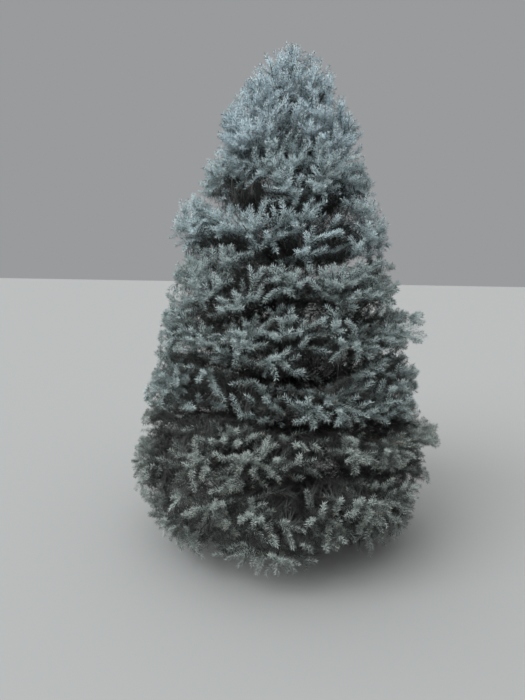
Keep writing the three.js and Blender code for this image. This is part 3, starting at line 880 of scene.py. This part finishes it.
def bough_mesh(stems, material):
    """Every bough and the leader as tapering limbs with a swollen foot and small scales."""
    u = np.linspace(0, LIMB_END, LIMB_RINGS) ** LIMB_RING_POWER
    lines = np.stack([stem.point(u) for stem in stems])
    foot = np.array([stem.foot_radius for stem in stems])[:, None]
    swollen = 1 + FOOT_SWELLING * np.exp(-u * FOOT_SWELLING_FALL)
    radii = np.maximum(foot * lerp(1, BOUGH_TIP_SHARE, u) * swollen, THINNEST_LIMB)
    points = rings_round(lines, radii, LIMB_SIDES)
    outward = points - lines[:, :, None]
    relief = np.array([[[flakes(point, LIMB_FLAKE) for point in ring] for ring in line] for line in points])
    points = points + outward * (LIMB_RELIEF * (relief - LIMB_RELIEF_LEVEL))[..., None]
    faces = tube_faces(len(stems), LIMB_RINGS, LIMB_SIDES)
    return mesh_object("boughs_bark", points.reshape(-1, 3), faces, material, smooth=True)


# Materials

def plain_material(name, color, roughness, specular=0.3):
    material = bpy.data.materials.new(name)
    material.use_nodes = True
    shader = material.node_tree.nodes["Principled BSDF"]
    shader.inputs["Base Color"].default_value = (*color, 1)
    shader.inputs["Roughness"].default_value = roughness
    shader.inputs["Specular IOR Level"].default_value = specular
    return material


def bark_material():
    material = plain_material("bark", (0.12, 0.095, 0.075), 0.92, 0.2)
    nodes, links = material.node_tree.nodes, material.node_tree.links
    shader = nodes["Principled BSDF"]
    place = nodes.new("ShaderNodeTexCoord")
    stretch = nodes.new("ShaderNodeMapping")
    stretch.inputs["Scale"].default_value = (90, 90, 48)
    links.new(place.outputs["Object"], stretch.inputs["Vector"])
    cells = nodes.new("ShaderNodeTexVoronoi")
    cells.feature = "DISTANCE_TO_EDGE"
    links.new(stretch.outputs["Vector"], cells.inputs["Vector"])
    grain = nodes.new("ShaderNodeTexNoise")
    grain.inputs["Scale"].default_value = 60
    grain.inputs["Detail"].default_value = 6
    links.new(place.outputs["Object"], grain.inputs["Vector"])
    tone = nodes.new("ShaderNodeValToRGB")
    tone.color_ramp.elements[0].position = 0.3
    tone.color_ramp.elements[0].color = (0.08, 0.069, 0.06, 1)
    tone.color_ramp.elements[1].position = 0.72
    tone.color_ramp.elements[1].color = (0.23, 0.2, 0.175, 1)
    links.new(grain.outputs["Fac"], tone.inputs["Fac"])
    cracks = nodes.new("ShaderNodeMapRange")
    cracks.inputs["From Max"].default_value = 0.12
    cracks.inputs["To Min"].default_value = 0.45
    links.new(cells.outputs["Distance"], cracks.inputs["Value"])
    shade = nodes.new("ShaderNodeMix")
    shade.data_type = "RGBA"
    shade.blend_type = "MULTIPLY"
    shade.inputs["Factor"].default_value = 1
    links.new(tone.outputs["Color"], shade.inputs["A"])
    links.new(cracks.outputs["Result"], shade.inputs["B"])
    links.new(shade.outputs["Result"], shader.inputs["Base Color"])
    bump = nodes.new("ShaderNodeBump")
    bump.inputs["Strength"].default_value = 0.5
    bump.inputs["Distance"].default_value = 0.001
    links.new(grain.outputs["Fac"], bump.inputs["Height"])
    links.new(bump.outputs["Normal"], shader.inputs["Normal"])
    return material


# Tints of the needles, dealt out twig by twig, from the silvery rim of the crown to its dark inside: each
# step inwards is darker, partly the older needles' own less waxy colour and partly painted shade of the
# crown's inside
TINTS = {
    "silver": (0.37, 0.435, 0.42),
    "blue": (0.168, 0.205, 0.197),
    "green": (0.075, 0.09, 0.084),
    "dull_and_shaded": (0.044, 0.046, 0.043),
}
ZONES = {"low": range(0, 3), "middle": range(3, 6), "high": range(6, 8), "top": range(8, WHORLS + 1)}
ZONE_HEIGHTS = {"low": (0, 0.8), "middle": (0.8, 1.55), "high": (1.55, 2), "top": (2, TREE_HEIGHT)}
# Painted light: the needles' tints are scaled brighter and bluer up the tree, as haze and light from above,
# and a little darker and warmer low down, as painted shade
ZONE_PAINTED_LIGHT = {
    "low": (0.97, 0.93, 0.9),
    "middle": (1.05, 1.06, 1.09),
    "high": (1.24, 1.28, 1.38),
    "top": (1.43, 1.47, 1.63),
}
TINT_DEPTHS = {"silver": 0.05, "blue": 0.09, "green": 0.15}  # how far in each of the paler tints goes
TINT_REACHES = [[1.1, 2.3], [1, 4.5]]  # heights, and how many times further the paler tints go in there, so that the top is paler as painted light
FRINGE_TINT_REACH = 2.5
TINT_PLACE = 0.8  # share of a twig's length at which its depth is taken
TINT_VARIES = 0.03


def tint_of(twig, draws):
    """The needles' tint: paler near the outline of the crown and darker further in, as painted shade, and
    paler towards its top, as painted light.
    """
    height = twig.point(1)[2]
    reach = FRINGE_TINT_REACH if height < FRINGE_FLOOR else np.interp(height, *TINT_REACHES)
    deep = depth(twig.point(TINT_PLACE))[0] / reach + draws.uniform(-TINT_VARIES, TINT_VARIES)
    for tint, limit in TINT_DEPTHS.items():
        if deep < limit:
            return tint
    return "dull_and_shaded"


# The pieces

boughs = {(whorl.k, index): Bough(whorl, index) for whorl in WHORL_LIST for index in range(whorl.count)}
leader = Leader()
growths = [grow_mass(bough, index) for (k, index), bough in boughs.items()]
growths.append(grow_leader(leader))
growths.append(grow_upper_trunk())

bark = bark_material()
trunk = trunk_mesh(bark)
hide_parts("trunk")
limbs = bough_mesh([*boughs.values(), leader], bark)
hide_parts(*[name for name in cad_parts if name.startswith("bough_")])
for piece in (trunk, limbs):
    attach(piece, "root")

twig_bark = plain_material("twig_bark", (0.15, 0.13, 0.112), 0.9, 0.15)
dry_bark = plain_material("dry_bark", (0.068, 0.069, 0.066), 0.95, 0.1)
bud_scales = plain_material("bud_scales", (0.2, 0.15, 0.105), 0.7)
draws = np.random.default_rng(LOOKS_SEED)
trunk_roots, trunk_runs = trunk_twiglets(draws)
for zone, whorl_numbers in ZONES.items():
    nodes = [f"mass_{k + 1}_{i + 1}" for k in whorl_numbers if k < WHORLS for i in range(WHORL_COUNTS[k])]
    if WHORLS in whorl_numbers:
        nodes.append("leader")
    twigs = [twig for growth in growths if growth.k in whorl_numbers for twig in growth.twigs]
    low, high = ZONE_HEIGHTS[zone]
    between = (trunk_roots[:, 2] >= low) & (trunk_roots[:, 2] < high)
    dry = [growth.dry for growth in growths if growth.k in whorl_numbers]
    dry.append((trunk_roots[between], trunk_runs[between]))
    dry = [np.concatenate(part) for part in zip(*dry)]
    tints = [tint_of(twig, draws) for twig in twigs]
    pieces = [twig_mesh(f"twigs_{zone}", twigs, twig_bark)]
    pieces.append(twiglet_mesh(f"twiglets_{zone}", *dry, dry_bark))
    outer = [twig for twig, tint in zip(twigs, tints) if tint in ("silver", "blue")]
    pieces.append(bud_mesh(f"buds_{zone}", outer, bud_scales))
    needles, owner, darker = needles_on(twigs, OLD_NEEDLE_SHARES[zone], draws)
    dealt = np.minimum(np.array([list(TINTS).index(tint) for tint in tints])[owner] + darker, len(TINTS) - 1)
    for number, (tint, color) in enumerate(TINTS.items()):
        if number not in dealt:
            continue
        # the tint scaled by its zone's painted light and shade
        toned = [c * tone for c, tone in zip(color, ZONE_PAINTED_LIGHT[zone])]
        material = plain_material(f"needles_{zone}_{tint}", toned, 0.55)
        piece = needle_mesh(f"needles_{zone}_{tint}", needles[dealt == number], material)
        pieces.append(piece)
    for piece in pieces:
        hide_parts(*nodes)
        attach(piece, "root")


# Stage

def add_floor():
    bpy.ops.mesh.primitive_plane_add(size=60)
    floor = bpy.context.object
    floor.name = "floor"
    floor.data.materials.append(plain_material("floor", (0.3, 0.3, 0.295), 0.9, 0.1))


def add_sun(name, place, spread, strength, color):
    """A large soft light far away, from the direction of the place, as wide as the spread in degrees."""
    data = bpy.data.lights.new(name, "SUN")
    data.angle = math.radians(spread)
    data.energy = strength
    data.color = color
    light = bpy.data.objects.new(name, data)
    light.location = place
    light.rotation_euler = (-Vector(place)).to_track_quat("-Z", "Y").to_euler()
    bpy.context.scene.collection.objects.link(light)


def add_camera():
    data = bpy.data.cameras.new("camera")
    data.sensor_width = SENSOR
    data.lens = FOCAL_PIXELS * SENSOR / LONG_SIDE_PIXELS
    camera = bpy.data.objects.new("camera", data)
    turned = Matrix.Rotation(math.radians(90 - PITCH), 4, "X") @ Matrix.Rotation(math.radians(ROLL), 4, "Z")
    camera.matrix_world = Matrix.Translation(EYE) @ turned
    bpy.context.scene.collection.objects.link(camera)
    bpy.context.scene.camera = camera


def add_world():
    world = bpy.data.worlds.new("world")
    world.use_nodes = True
    sky = world.node_tree.nodes["Background"]
    sky.inputs["Color"].default_value = (0.84, 0.86, 0.88, 1)
    sky.inputs["Strength"].default_value = 0.38
    bpy.context.scene.world = world


add_floor()
add_world()
add_sun("top", (-1.5, -0.7, 5), 110, 2.9, (0.97, 0.985, 1.0))
add_sun("key", (-3.5, -2.7, 3.8), 45, 2.45, (0.93, 0.985, 1.0))
add_sun("fill", (3.5, -3.0, 2.4), 60, 0.14, (1.0, 0.95, 0.88))
add_camera()
bpy.context.scene.view_settings.view_transform = "Standard"
